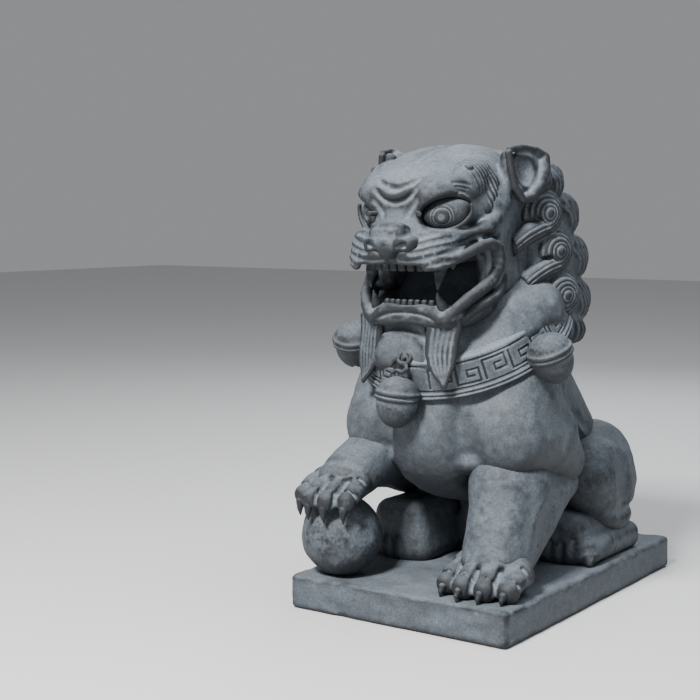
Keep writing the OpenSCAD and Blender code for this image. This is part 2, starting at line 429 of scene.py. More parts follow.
def make_ball():
    low, high = box_of("ball")
    middle = (low + high) / 2
    radius = (high[0] - low[0]) / 2
    centre = (middle[0], middle[1], high[2] - radius)
    clay = Clay(low, high, 2.4)
    clay.add(egg(centre, (radius, radius, radius)), 2)
    flat = np.random.default_rng(5)
    for _ in range(60):
        d = flat.normal(size=3)
        d /= np.linalg.norm(d)
        wide = flat.uniform(12, 30)
        clay.cut(egg(np.array(centre) + d * (radius + 1.5), (wide, wide, 2.6), facing(d, (0.1, 0.2, 1))), 6)
    return clay.cast("ball", 0.8)


# ---------------------------------------------------------------- body and legs

def make_torso():
    clay = Clay((-270, -372, 70), (270, 375, 740), 5.4, even=True)
    clay.add(lump(0, -150, 445, 186, 160, 178), 50)
    clay.add(lump(0, -196, 396, 150, 128, 140), 50)
    # neck, flush with the collar and filling the space under the jaw
    clay.add(lump(0, -150, 644, 217, 217, 50, (29, 0, 0)), 20)
    clay.add(rods((60, -130, 640, 128), (60, -60, 640, 130)), 50)
    clay.add(rods((140, -180, 640, 62), (160, -110, 652, 62)), 40)
    clay.add(lump(0, -90, 600, 176, 140, 130), 60)
    clay.add(lump(0, 10, 470, 150, 170, 190, (-20, 0, 0)), 80)
    clay.add(lump(0, 60, 390, 160, 190, 165), 80)
    clay.add(lump(0, 170, 290, 172, 160, 172), 80)
    clay.add(lump(0, 235, 190, 172, 110, 120), 50)
    clay.add(lump(0, -40, 300, 168, 172, 82), 50)
    # between the hind legs the stone runs down to the plinth
    clay.add(rods((60, 34, 106, 48), (78, 40, 190, 60), (84, 44, 250, 66)), 40)
    clay.add(rods((50, 50, 106, 50), (60, 200, 106, 54)), 40)
    clay.add(lump(0, 230, 110, 150, 75, 52), 30)
    # shoulder and upper arm, overhanging the crease above the foreleg
    clay.add(rods((150, -152, 492, 88), (150, -196, 420, 92), (158, -196, 392, 86)), 20)
    clay.add(rods((152, -160, 470, 86), (180, -86, 392, 74), (190, -26, 326, 50)), 30)
    clay.add(rods((160, -200, 392, 82), (186, -120, 362, 66), (194, -44, 322, 48)), 30)
    # crease between breast and upper arm
    clay.stroke([(100, -400, 450, 0.3), (102, -400, 415, 0.8), (108, -400, 380), (116, -400, 345),
                 (122, -380, 310)], (-0.1, 1, 0), 34, 30)
    # flat underside of the upper arm, down towards the elbow
    clay.cut(slab((185, -130, 240), (110, 200, 46), 10, (-12, 0, 0)), 10)
    # crease between the shoulder and the flank
    clay.cut(rods((222, 44, 330, 12), (214, 52, 402, 14), (206, 40, 452, 15), (190, 44, 520, 10)), 30)
    for z in (330, 372, 414):
        clay.stroke([(236, 60, z), (236, 96, z - 16), (236, 132, z - 44)], (-1, 0, 0), 12, 16)
    # spine
    clay.stroke([(0, 200, 560), (0, 300, 420), (0, 380, 300)], (0, -1, -0.4), 14, 20, -3)
    # the panel under the chin, a little to the lion's right, with an arch cut over it
    clay.unfold()
    clay.add(slab((-18, -272, 588), (116, 74, 66), 50), 14)
    clay.cut(rods((-104, -340, 556, 4), (-103, -340, 590, 7), (-86, -340, 618, 10), (-60, -340, 632, 12),
                  (-34, -340, 637, 13), (-10, -340, 632, 12), (16, -340, 620, 10), (33, -340, 596, 7),
                  (36, -340, 560, 4)), 8)
    return clay.cast("torso_with_shoulders", 0.9)


def toes_of(clay, toes, back, up):
    """Adds four toes: a back knuckle, a front knuckle and a blunt tip, with grooves between toes."""
    for (x, y, z, r), (u, v, w, s) in zip(toes, back):
        clay.add(rods((u, v, w + 2, s * 0.9),
                      ((x + u) / 2, (y + v) / 2 - 2, (z + w) / 2 + up, (r + s) / 2 * 0.88),
                      (x, y, z + 1, r * 0.86)), 10)
        clay.add(lump(x * 0.98 + u * 0.02, y + 22, z + up + 8, r * 0.92, r * 0.82, r * 0.7), 6)
        clay.add(lump(x, y - 4, z - 1, r * 0.9, r * 0.74, r * 0.8), 6)
    for a, b in zip(toes, toes[1:]):
        x, y, z = ((a[i] + b[i]) / 2 for i in range(3))
        clay.cut(rods((x, y - 24, z - 22, 3), (x, y - 10, z + 14, 4), (x * 0.97, y + 26, z + 36, 4),
                      (x * 0.95, y + 56, z + 44, 1.6)), 8)


def knuckle_creases(clay, x, y, z, half, back, front):
    """Two arched creases across a toe, given half their width and their heights over its tip."""
    clay.cut(rods((x - half, y + 42, z + back, 1.8), (x, y + 43, z + back + 7, 2.2),
                  (x + half, y + 42, z + back, 1.8)), 8)
    clay.cut(rods((x - half - 2, y + 4, z + 12, 1.4), (x, y + 3, z + front, 1.8),
                  (x + half + 2, y + 4, z + 12, 1.4)), 8)


def make_left_foreleg():
    clay = Clay((78, -350, 74), (262, 20, 360), 3.4)
    clay.add(rods((150, -228, 296, 58), (176, -188, 292, 60), (190, -24, 272, 36)), 30)
    clay.add(rods((150, -235, 286, 58), (152, -268, 200, 54), (148, -288, 140, 50)), 30)
    clay.add(rods((176, -190, 284, 60), (182, -232, 210, 56), (184, -272, 138, 50)), 30)
    clay.add(rods((190, -30, 268, 32), (190, -130, 196, 34), (182, -240, 118, 38)), 30)
    clay.add(rods((186, -90, 264, 46), (186, -150, 214, 46), (182, -240, 140, 42)), 30)
    # the ridge of the shin and the hollow behind it
    clay.add(rods((196, -252, 286, 20), (206, -282, 214, 18), (204, -300, 150, 16)), 30)
    clay.cut(rods((262, -150, 260, 18), (262, -205, 205, 16), (258, -240, 150, 10)), 30)
    # wrist crease
    clay.cut(rods((112, -346, 176, 5), (150, -356, 182, 6), (196, -352, 180, 6), (240, -318, 172, 5)), 14)
    return clay.cast("left_foreleg", 0.8)


def make_right_foreleg():
    clay = Clay((-268, -382, 200), (-84, 14, 398), 3.8)
    clay.add(rods((-160, -230, 330, 58), (-176, -288, 304, 52), (-182, -336, 282, 44)), 30)
    clay.add(rods((-196, -212, 330, 54), (-202, -280, 302, 48), (-206, -334, 278, 42)), 30)
    clay.add(rods((-160, -250, 322, 50), (-160, -330, 284, 42)), 30)
    clay.add(rods((-178, -200, 308, 60), (-196, -120, 284, 54), (-206, -46, 260, 54)), 30)
    clay.cut(rods((-130, -352, 322, 5), (-176, -362, 330, 6), (-236, -344, 318, 5)), 14)
    clay.cut(rods((-256, -170, 296, 16), (-262, -240, 290, 14)), 30)
    return clay.cast("right_foreleg", 0.8)


LEFT_TOES = [(98, -352, 99, 26), (144, -366, 100, 28), (192, -362, 100, 28), (237, -344, 99, 27)]
RIGHT_TOES = [(-124, -404, 252, 24), (-164, -420, 252, 26), (-206, -418, 254, 26), (-242, -398, 256, 23)]


def make_left_forepaw():
    clay = Clay((66, -396, 74), (268, -205, 176), 2.4)
    clay.add(rods((116, -286, 120, 42), (166, -296, 128, 44), (214, -282, 120, 42)), 30)
    clay.add(rods((170, -296, 126, 44), (170, -250, 112, 38)), 30)
    back = [(x * 0.94 + 10, y + 62, z + 18, 27) for x, y, z, _ in LEFT_TOES]
    toes_of(clay, LEFT_TOES, back, 8)
    for x, y, z, _ in LEFT_TOES:
        knuckle_creases(clay, x, y, z, 18, 34, 25)
        clay.cut(lump(x, y - 27, z - 10, 8, 8, 12), 6)
    return clay.cast("left_forepaw", 0.6)


def make_left_claws():
    clay = Clay(*box_of("left_claws"), 1.4)
    for x, y, z, _ in LEFT_TOES:
        clay.add(rods((x, y - 10, z - 2, 10), (x, y - 24, z - 4, 8.6), (x, y - 31, z - 12, 5.4),
                      (x, y - 32.5, 78, 2.2)), 3)
    return clay.cast("left_claws", 0.3)


def make_right_claws():
    clay = Clay(*box_of("right_claws"), 1.4)
    for x, y, z, _ in RIGHT_TOES:
        clay.add(rods((x, y - 8, z - 4, 11), (x, y - 15, z - 14, 10), (x * 1.005, y - 15.5, z - 30, 6.2),
                      (x * 1.01, y - 12, z - 45, 2.2)), 3)
    return clay.cast("right_claws", 0.3)


def make_right_forepaw():
    clay = Clay((-270, -450, 222), (-96, -312, 330), 2.4)
    clay.add(rods((-148, -345, 280, 34), (-182, -350, 286, 36), (-214, -341, 282, 34)), 20)
    back = [(x * 0.94 - 11, y + 60, z + 26, 24) for x, y, z, _ in RIGHT_TOES]
    toes_of(clay, RIGHT_TOES, back, 6)
    for x, y, z, _ in RIGHT_TOES:
        knuckle_creases(clay, x, y, z, 16, 36, 24)
    return clay.cast("right_forepaw", 0.6)


def haunch_clay():
    clay = Clay((72, 60, 76), (286, 350, 400), 4)
    clay.add(rods((148, 232, 288, 78), (150, 250, 236, 88), (158, 240, 168, 78)), 50)
    clay.add(rods((150, 225, 290, 74), (178, 150, 284, 66), (190, 112, 262, 54)), 50)
    clay.add(rods((190, 112, 262, 54), (186, 140, 200, 56), (178, 190, 156, 62)), 50)
    clay.add(lump(186, 176, 236, 74, 96, 86), 50)
    # ridge of the knee
    clay.add(rods((206, 92, 300, 16), (222, 84, 262, 18), (220, 96, 214, 16)), 30)
    # hollow behind it, and the fold above the hind foot
    clay.cut(rods((264, 150, 300, 12), (272, 150, 250, 13), (266, 160, 206, 10)), 40)
    clay.cut(rods((262, 84, 186, 8), (262, 160, 176, 9), (248, 250, 178, 8), (190, 330, 176, 6)), 16)
    return clay


def hind_paw_clay(front, tall):
    """A long plain block, little worked, with a knob at its outer front corner."""
    clay = Clay((84, front - 12, 74), (272, 312, 214 + 2 * tall), 3.3)
    middle, half = (front + 280) / 2, (280 - front) / 2
    clay.add(slab((152, middle, 126 + tall), (70, half, 66 + tall), 36, (1, 8, 0)), 10)
    clay.add(slab((196, middle + 8, 104), (56, half - 6, 31), 22), 20)
    clay.add(rods((244, front + 30, 96, 13), (246, front + 60, 104, 14), (240, front + 110, 118, 18)), 12)
    clay.add(rods((238, front + 22, 90, 14), (244, front + 16, 84, 10)), 8)
    for x, lean in ((206, 0), (176, 2), (146, 3)):
        clay.cut(rods((x, front - 8, 76, 4), (x + lean, front - 3, 100, 4),
                      (x + 2 * lean, front + 12, 134, 3)), 12)
    clay.cut(rods((262, front + 22, 84, 3.6), (240, front + 22, 84, 3.6)), 2)
    clay.cut(rods((262, front + 80, 90, 3), (264, front + 150, 88, 4), (262, 230, 90, 3)), 14)
    return clay


def make_tail():
    clay = Clay((-52, 235, 100), (52, 398, 400), 2.8)
    clay.add(rods((0, 352, 128, 26), (0, 350, 210, 40), (0, 322, 296, 33), (0, 272, 378, 15)), 20)
    # locks of hair winding up to the tip
    for x, sway in ((-26, -7), (-9, 5), (9, -5), (26, 7)):
        clay.stroke([(x * 0.7, 420, 122), (x + sway, 420, 180), (x - sway, 420, 240),
                     (x * 0.7 + sway, 400, 300), (x * 0.2, 350, 372)], (0, -1, -0.15), 9, 8)
    for side in (-1, 1):
        clay.add(rods((side * 30, 350, 150, 15), (side * 40, 356, 190, 12), (side * 26, 372, 214, 8)), 8)
    return clay.cast("tail", 0.6)


use(make_plinth())
use(make_ball())
use(make_torso(), ["torso", "left_shoulder", "right_shoulder"])
for maker in (make_left_foreleg, make_right_foreleg, make_left_forepaw, make_right_forepaw, make_left_claws,
              make_right_claws, make_tail):
    use(maker())
for side, word, front, tall in ((LEFT, "left", 0, 0), (RIGHT, "right", -165, 12)):
    use(side_piece(haunch_clay(), word + "_haunch", side, 0.9))
    use(side_piece(hind_paw_clay(front, tall), word + "_hind_paw", side, 0.7))


# ---------------------------------------------------------------- head

SOCKET = (87, -357, 868)
SOCKET_TURN = (0, -14, 36)


def rim_point(share, around, forward):
    """A point round the eye's rim: share of the socket's size, angle in degrees, millimetres forward."""
    q = math.radians(around)
    flat = np.array([55 * share * math.cos(q), -forward, 34 * share * math.sin(q)])
    return tuple(np.array(SOCKET) + turning(SOCKET_TURN) @ flat)


def make_head():
    clay = Clay((-185, -446, 590), (185, 60, 1016), 3, even=True)
    clay.add(lump(0, -185, 898, 156, 196, 114), 40)
    clay.add(slab((0, -262, 909), (118, 140, 66), 46, (19, 0, 0)), 30)
    clay.add(slab((0, -345, 896), (94, 60, 46), 34, (12, 0, 0)), 30)
    clay.add(slab((0, -150, 800), (152, 114, 118), 40), 40)
    clay.add(lump(0, -60, 860, 160, 120, 130), 50)
    clay.add(lump(0, -60, 700, 150, 120, 120), 50)
    # muzzle: a broad box with two full lips in front, its top falling away to the sides
    clay.add(slab((0, -320, 796), (126, 98, 43), 42), 20)
    clay.add(lump(52, -392, 780, 62, 46, 36), 16)
    clay.add(lump(76, -376, 782, 42, 48, 34), 20)
    clay.add(lump(0, -380, 828, 62, 44, 36), 30)
    # mouth: arched at the sides, hollow behind
    side = ((-291, 771, 21), (-292, 753, 22), (-318, 756, 27), (-345, 742, 34), (-376, 728, 40),
            (-410, 722, 42))
    clay.cut([bone((-260, y, z, r), (260, y, z, r)) for y, z, r in side], 6)
    clay.cut(slab((0, -330, 716), (116, 190, 38), 26), 14)
    clay.cut(slab((0, -252, 748), (131, 96, 42), 26), 6)
    clay.cut(slab((0, -420, 700), (200, 120, 46), 20), 8)
    clay.cut(slab((0, -330, 640), (230, 112, 60), 20), 10)
    # flat side plane of the face, ending in a clean edge in front of the curls
    clay.add(slab((128, -208, 796), (28, 52, 98), 12), 12)
    # the band that runs from the ear round the eye and forward under it
    clay.add(rods((146, -206, 985, 15), (146, -206, 935, 17), (145, -218, 898, 17), (143, -240, 866, 17),
                  (141, -270, 843, 17), (133, -306, 826, 16), (116, -342, 819, 15), (92, -374, 827, 13),
                  (64, -392, 842, 10)), 7)
    # eye socket, and the lower lid along its edge
    clay.cut(egg(rim_point(0, 0, 26), (54, 60, 35), SOCKET_TURN), 6)
    clay.add(rods(*[(*rim_point(1, q, 14), 4.5) for q in range(186, 378, 12)]), 5)
    # step down behind the band, and the hollow side of the face above the mouth's corner
    clay.cut(rods((176, -180, 960, 12), (176, -182, 920, 15), (176, -194, 876, 17), (176, -222, 846, 15),
                  (174, -252, 830, 8)), 16)
    clay.cut(rods((172, -150, 860, 14), (174, -178, 810, 17), (172, -190, 760, 14)), 40)
    # lip roll round the mouth's corner
    clay.add(rods((86, -424, 760, 10), (108, -402, 765, 11), (124, -374, 775, 11), (140, -346, 789, 11),
                  (151, -318, 801, 12), (155, -291, 806, 13), (157, -263, 796, 14), (157, -255, 776, 14),
                  (155, -257, 752, 13), (150, -271, 730, 12), (141, -298, 712, 10)), 6)
    clay.cut(rods((176, -262, 826, 5), (178, -240, 812, 6), (178, -228, 780, 6), (176, -232, 748, 6)), 8)
    # philtrum
    clay.cut(rods((0, -446, 786, 3.5), (0, -446, 768, 4.5), (0, -438, 750, 4)), 8)
    # wrinkles: the long crease above the lip, and others that fan out from below the nose
    outward = (-0.35, 1, 0)
    clay.stroke([(22, -440, 771), (50, -440, 769), (80, -438, 774), (108, -428, 782), (128, -408, 786)],
                outward, 9, 8)
    clay.stroke([(122, -412, 785), (140, -386, 792), (152, -354, 805), (163, -326, 820), (168, -290, 821),
                 (172, -262, 808)], (-1, 0.3, 0), 10, 7)
    clay.stroke([(54, -445, 784), (80, -438, 790), (106, -424, 797), (128, -400, 802), (146, -366, 816)],
                outward, 8.5, 8)
    clay.stroke([(62, -440, 799), (84, -430, 806), (106, -414, 812), (126, -390, 817)],
                outward, 7.5, 8)
    clay.stroke([(66, -430, 816), (82, -422, 822), (100, -406, 826)], outward, 6, 8)
    clay.stroke([(30, -440, 758), (62, -440, 756), (92, -436, 760), (116, -422, 767), (134, -398, 770)],
                outward, 6, 6)
    # whisker dimples
    for x, y, z in ((84, -440, 783), (104, -430, 790), (98, -436, 769), (118, -416, 775)):
        spot = clay.onto([(x, y, z)], outward)[0]
        clay.cut(egg(spot, (2.6, 2.6, 2.6)), 2)
    # two smiling folds on the forehead, with a raised crescent between
    down = (0, 1, -0.25)
    clay.stroke([(-50, -400, 936), (-26, -410, 922), (0, -412, 917), (26, -410, 922), (50, -400, 936)],
                down, 10, 8)
    clay.stroke([(-50, -400, 910), (-26, -410, 894), (0, -412, 889), (26, -410, 894), (50, -400, 910)],
                down, 11, 8)
    clay.stroke([(-38, -400, 917), (-20, -410, 906), (0, -412, 902), (20, -410, 906), (38, -400, 917)],
                down, 13, 7, raised=True)
    # frown folds beside the bridge of the nose
    clay.stroke([(30, -410, 862), (38, -410, 878), (52, -404, 892)], down, 4, 10)
    # shallow mark down the middle of the crown
    clay.stroke([(0, -330, 1000), (0, -240, 1020), (0, -150, 1030)], (0, 0.15, -1), 8, 20, -3)
    return clay.cast("head", 0.7)


def make_nose():
    clay = Clay((-72, -466, 762), (72, -360, 868), 1.6, even=True)
    # flat top, falling forwards, over a pad whose wings flare at the sides
    clay.add(slab((0, -412, 828), (42, 36, 15), 12, (-15, 0, 0)), 5)
    clay.add(lump(0, -388, 836, 38, 30, 17), 12)
    clay.add(slab((0, -418, 812), (46, 32, 22), 18, (-10, 0, 0)), 8)
    clay.add(lump(46, -420, 805, 19, 26, 19), 7)
    clay.add(lump(0, -438, 800, 22, 16, 20), 8)
    clay.add(lump(0, -426, 788, 16, 16, 14), 10)
    # nostrils, and the fold round each wing
    clay.cut(rods((24, -462, 798, 6), (34, -460, 802, 9.5), (46, -452, 806, 8)), 4)
    clay.cut(rods((30, -446, 798, 6), (42, -440, 803, 7)), 4)
    clay.cut(rods((70, -424, 822, 3.5), (68, -438, 806, 4), (58, -450, 788, 4)), 5)
    clay.cut(rods((6, -466, 790, 2), (0, -466, 808, 2)), 8)
    return clay.cast("nose", 0.5)


def make_lower_jaw():
    clay = Clay((-176, -392, 612), (176, -130, 762), 2.7, even=True)
    clay.add(slab((0, -255, 654), (112, 112, 20), 18), 10)
    clay.add(rods((100, -300, 662, 24), (120, -240, 674, 26), (126, -165, 690, 28)), 20)
    clay.add(rods((60, -336, 654, 22), (0, -342, 654, 20)), 20)
    # lip: flat across the front, a point under each canine, then up the cheek
    clay.add(rods((0, -362, 674, 12.5), (34, -364, 672, 12.5), (62, -364, 664, 12), (82, -364, 650, 11),
                  (97, -361, 653, 11), (112, -349, 673, 12), (127, -328, 692, 13), (141, -298, 712, 13.5),
                  (150, -271, 731, 13.5), (155, -258, 752, 13)), 7)
    # jowl ridge below it, with a groove between
    clay.add(rods((92, -346, 636, 9), (115, -325, 655, 11), (130, -307, 671, 12), (145, -283, 684, 12),
                  (154, -255, 698, 11), (157, -238, 716, 9), (158, -230, 738, 5)), 6)
    clay.cut(rods((112, -362, 651, 3), (130, -338, 672, 4), (148, -308, 690, 4), (162, -276, 706, 4),
                  (172, -248, 722, 4), (174, -238, 748, 3)), 4)
    clay.stroke([(0, -390, 661), (40, -390, 658), (72, -390, 646)], (0, 1, 0), 5, 5)
    # mouth floor
    clay.cut(lump(0, -270, 700, 84, 120, 38), 12)
    # the arch under the chin
    clay.cut(lump(0, -330, 606, 62, 80, 30), 12)
    return clay.cast("lower_jaw", 0.7)


def make_upper_teeth():
    clay = Clay((-104, -412, 705), (104, -330, 790), 1.3, even=True)
    for i in range(3):
        x = 10 + 20 * i
        clay.add(slab((x, -398 + x * x / 300, 762), (8.6, 7, 13), 5, (8, 0, 0)), 2)
    clay.add(rods((82, -362, 772, 17), (84, -370, 748, 12.5), (84, -376, 728, 7), (82, -375, 714, 2.6)), 4)
    clay.add(rods((100, -344, 776, 10), (100, -346, 758, 5)), 3)
    return clay.cast("upper_teeth", 0.3)


def make_lower_teeth():
    clay = Clay((-104, -388, 640), (104, -300, 712), 1.3, even=True)
    for i in range(4):
        x = 8 + 15.5 * i
        clay.add(slab((x, -361 + x * x / 420, 681), (6.6, 6, 8), 5, (-6, 0, 0)), 1.5)
    clay.add(rods((84, -346, 660, 15), (81, -358, 680, 10.5), (79, -367, 694, 6), (79, -371, 704, 2.4)), 4)
    return clay.cast("lower_teeth", 0.3)


def eye_clay():
    clay = Clay((42, -392, 826), (152, -296, 908), 1.2)
    centre = np.array(SOCKET) + np.array((1, 5, -1))
    clay.add(egg(centre, (51, 34, 33), SOCKET_TURN), 2)
    matrix = facing((0.22, -0.95, -0.18))

    def ring(x, y, z):
        u, v, w = local(x, y, z, centre, matrix)
        off = np.sqrt(u**2 + v**2)
        groove = np.exp(-((off - 16.5) / 1.6) ** 2) * 2.4 + np.exp(-((off - 22.5) / 1.2) ** 2) * 1
        pupil = np.exp(-(off / 7.5) ** 4) * 1.8
        return np.where(w > 0, 1.4 * (off < 16.5) - groove - pupil, 0)

    clay.ripple(clay.low, clay.low + 130, ring)
    return clay


BROW_KNOB = (106, -308, 954)
BROW_LOOK = (0.74, -0.46, 0.49)
BROW_ALONG = (0.16, 0.40, -0.90)


def brow_clay():
    """The brow, from the bridge of the nose to a whorl at the temple and down to the eye's corner."""
    clay = Clay((30, -414, 836), (158, -206, 1004), 1.7)
    clay.add(egg((100, -284, 932), (40, 76, 46), (19, 0, 0)), 10)
    clay.add(rods((50, -388, 870, 9), (66, -382, 893, 12), (86, -366, 912, 16), (104, -344, 924, 21)), 12)
    clay.add(rods((126, -250, 930, 22), (131, -256, 904, 20), (133, -270, 878, 14)), 12)
    clay.cut(egg(rim_point(0, 0, 26), (55, 66, 35), SOCKET_TURN), 4)
    look = unit(BROW_LOOK)
    along = np.array(BROW_ALONG)
    along = unit(along - look * (along @ look))
    matrix = np.stack([along, np.cross(look, along), look], axis=1)

    def whorl(x, y, z):
        u, v, w = local(x, y, z, BROW_KNOB, matrix)
        off = np.sqrt(np.maximum(-u, 0) ** 2 + v**2)
        strong = np.clip((off - 4) / 4, 0, 1) * np.clip((72 - off) / 10, 0, 1)
        behind = np.clip((v + 14) / 10, 0, 1)
        saw = off / 10.2 % 1.0
        ridge = np.sqrt(np.clip(1 - (2 * saw - 1) ** 2, 0, 1)) - 0.7
        bud = 5 * np.sqrt(np.clip(1 - (u**2 + v**2) / 10**2, 0, 1))
        return 4.2 * ridge * strong * behind + bud

    clay.ripple(clay.low, clay.low + 200, whorl)
    # the upper lid: a cord along the rim, then fine ridges above it
    inward = turning(SOCKET_TURN) @ np.array([0, 1, 0])
    clay.stroke([rim_point(1.05, q, 80) for q in range(190, -6, -14)], inward, 11, 3, raised=True)
    for share, wide in ((1.26, 5.5), (1.46, 5), (1.68, 4.4)):
        clay.stroke([rim_point(share, q, 80) for q in range(186, 40, -20)], inward, wide, 4)
    # tufts between the lid and the whorl
    for i in range(4):
        x = 66 + 9 * i
        clay.stroke([(x, -400, 906 + 5 * i), (x + 5, -394, 917 + 5 * i), (x + 15, -384, 926 + 5 * i)],
                    inward, 4.4, 3)
    for x, y, z in ((66, -400, 896), (86, -392, 938)):
        spot = clay.onto([(x, y, z)], inward)[0]
        clay.cut(egg(spot, (3.2, 3.2, 3.2)), 2)
    return clay


def ear_clay():
    clay = Clay((126, -240, 868), (206, -62, 1014), 2.1)
    clay.add(lump(156, -152, 946, 30, 66, 58), 10)
    clay.add(lump(168, -96, 938, 24, 28, 40, (-20, 0, 0)), 10)
    rim = [(158, -222, 992, 8), (163, -217, 955, 8), (168, -210, 922, 8), (179, -194, 896, 8),
           (186, -168, 902, 11), (189, -140, 926, 13), (188, -118, 958, 14), (182, -110, 986, 13),
           (174, -134, 1001, 9), (166, -180, 1005, 8), (158, -216, 1000, 8)]
    clay.add(rods(*rim), 8)
    clay.cut(lump(196, -182, 955, 34, 30, 38, (0, 0, 24)), 6)
    clay.cut(lump(180, -192, 962, 24, 18, 32, (14, 0, 0)), 6)
    for i in range(3):
        clay.stroke([(210, -84 + 8 * i, 918), (210, -78 + 6 * i, 940), (210, -84 + 4 * i, 962)],
                    (-1, 0, 0), 3.6, 4)
    return clay


for maker in (make_head, make_nose, make_lower_jaw, make_upper_teeth, make_lower_teeth):
    use(maker())
for side, word in ((LEFT, "left"), (RIGHT, "right")):
    inset = 10 if side == RIGHT else 0
    use(side_piece(eye_clay(), word + "_eye", side, 0.3, inset))
    use(side_piece(brow_clay(), word + "_brow", side, 0.4, inset / 2))
    use(side_piece(ear_clay(), word + "_ear", side, 0.6))


# ---------------------------------------------------------------- mane

CURL_SINK = 30


def curl_shape(centre, matrix, radius, tall, pitch, strand=0, droop=0, wind=1):
    """A whorl seen along its third axis: rings round a knob, the outer ones running on as strands."""
    centre = np.array(centre)
    knob = 11

    def distance(x, y, z):
        u, v, w = local(x, y, z, centre, matrix)
        far = np.sqrt(u**2 + v**2)
        below = v - droop * np.maximum(u, 0) ** 2
        lock = (u > 0) & (below > 0) & (far > 0.42 * radius) if strand else np.zeros(far.shape, bool)
        across = abs(below - 0.56 * radius) - 0.44 * radius
        turn = 0.0 if strand else np.arctan2(v, u) / (2 * np.pi) * wind
        steps = np.where(lock, below, far) / pitch - turn
        saw = steps - np.floor(steps)
        ridge = np.sqrt(np.clip(1 - (2 * saw - 1) ** 2, 0, 1)) * 0.46 * pitch
        share = np.where(lock, np.clip(1 + across / (0.44 * radius), 0, 1), np.clip(far / radius, 0, 1))
        level = np.where(lock, 0.92, 1.0) * tall
        top = level * np.clip(1 - share**2.8, 0, 1) + ridge * np.clip(far / pitch, 0, 1)
        bud = knob * 0.9 * np.sqrt(np.clip(1 - (far / knob) ** 2, 0, 1))
        top = np.where(far < knob, np.maximum(top, tall + bud), top)
        edge = np.where(lock, np.maximum(across, u - strand), far - radius)
        return np.maximum(np.maximum((w - top) * 0.72, -w - CURL_SINK), edge)

    reach = radius + strand + 4
    return distance, centre - reach, centre + reach


def mane_clay():
    clay = Clay((-205, -215, 560), (205, 190, 1006), 4.2, even=True)
    clay.add(rods((60, -70, 905, 92), (90, 10, 812, 92), (92, 30, 700, 92), (88, 36, 640, 78)), 60)
    clay.add(rods((0, -60, 900, 100), (0, 40, 800, 110), (0, 60, 700, 112), (0, 60, 650, 92)), 50)
    # the sheet of strands beside the cheek
    clay.add(rods((142, -118, 900, 26), (148, -98, 800, 30), (152, -94, 706, 32), (144, -100, 640, 38)), 40)
    # four fat lobes down each side behind the curls
    for x, y, z, a, b, c, tilt in ((144, -24, 934, 38, 50, 48, -24), (150, 36, 862, 40, 54, 54, -20),
                                   (154, 70, 768, 42, 62, 56, -14), (156, 80, 672, 42, 64, 58, -4)):
        clay.add(lump(x, y, z, a, b, c, (tilt, 0, 0)), 4)
    clay.add(lump(158, 52, 606, 42, 66, 40), 6)
    # strands on the lobes
    for y, z in ((-10, 920), (52, 842), (84, 748), (92, 656)):
        for i in range(4):
            clay.stroke([(215, y - 52 + 15 * i, z + 46), (215, y - 30 + 15 * i, z + 20),
                         (215, y - 22 + 16 * i, z - 14), (215, y - 30 + 16 * i, z - 44)], (-1, 0, 0), 5, 6)
    # the cut ends at the foot of the mane
    for i in range(6):
        clay.stroke([(215, -20 + 22 * i, 650), (215, -22 + 22 * i, 600), (215, -20 + 20 * i, 566)],
                    (-1, 0, 0), 7, 6)
    clay.stand(574, 6)
    return clay


SIDE_CURLS = ((193, -50, 690, 54), (184, -68, 786, 52), (173, -99, 868, 54))


def side_curls_clay():
    clay = Clay((110, -240, 618), (256, 20, 948), 1.8)
    along = unit((-0.40, -0.86, -0.22))
    out = unit(np.cross(along, [0, 0, -1]))
    matrix = np.stack([along, np.cross(out, along), out], axis=1)
    for x, y, z, radius in SIDE_CURLS:
        clay.add(curl_shape((x, y, z), matrix, radius, 28, 9.8, strand=100, droop=0.0022), 2)
    return clay


def back_curls_clay(mane):
    """Staggered rows of whorls over the back of the mane, set on its surface."""
    clay = Clay((-178, -80, 566), (178, 206, 996), 2.7)
    for z, columns in ((922, (-0.5, 0.5)), (862, (-1, 0, 1)), (786, (-1.5, -0.5, 0.5, 1.5)),
                       (706, (-1, 0, 1)), (626, (-1.5, -0.5, 0.5, 1.5))):
        for column in columns:
            side = 1 if column >= 0 else -1
            spot = mane.onto([(92 * abs(column), 186, z)], (-0.4 * abs(column), -1, 0), 200)[0] * (side, 1, 1)
            rise = (z - 790) / 200
            out = unit([0.55 * column, 1, rise * (0.9 + max(rise, 0))])
            clay.add(curl_shape(spot - out * (10 + 8 * max(rise, 0)), facing(out), 46, 24, 9.4, wind=side), 3)
    return clay


# ---------------------------------------------------------------- beards

def make_beard(word, spread, path):
    """A lock of wavy strands along a path of x, y, z, half width; spread is the sign of its outer side."""
    low, high = box_of(word + "_beard")
    clay = Clay(low - 8, high + 8, 1.5)
    for i in range(6):
        lane = (i - 2.5) / 2.5
        strand = []
        for n, (x, y, z, wide) in enumerate(path):
            wave = 3.2 * math.sin(1.3 * n + 0.5 * i) * (n > 0)
            strand.append((x + lane * wide * 0.86 + wave, y + wide * 0.24 * (1 + lane * spread), z,
                           max(2.4, wide * 0.27)))
        clay.add(rods(*strand), 3)
    middle = [(x, y + wide * 0.55 + 3, z, max(3, wide * 0.5)) for x, y, z, wide in path]
    clay.add(rods(*middle), 4)
    return clay.cast(word + "_beard", 0.4)


LEFT_BEARD = ((80, -352, 648, 33), (78, -351, 628, 34), (75, -351, 604, 33), (74, -352, 578, 29),
              (75, -354, 554, 23), (79, -357, 532, 15), (86, -356, 510, 6))
RIGHT_BEARD = ((-106, -342, 648, 31), (-108, -340, 628, 32), (-110, -338, 602, 31), (-116, -334, 574, 28),
               (-124, -329, 548, 22), (-134, -322, 524, 14), (-146, -315, 502, 6))


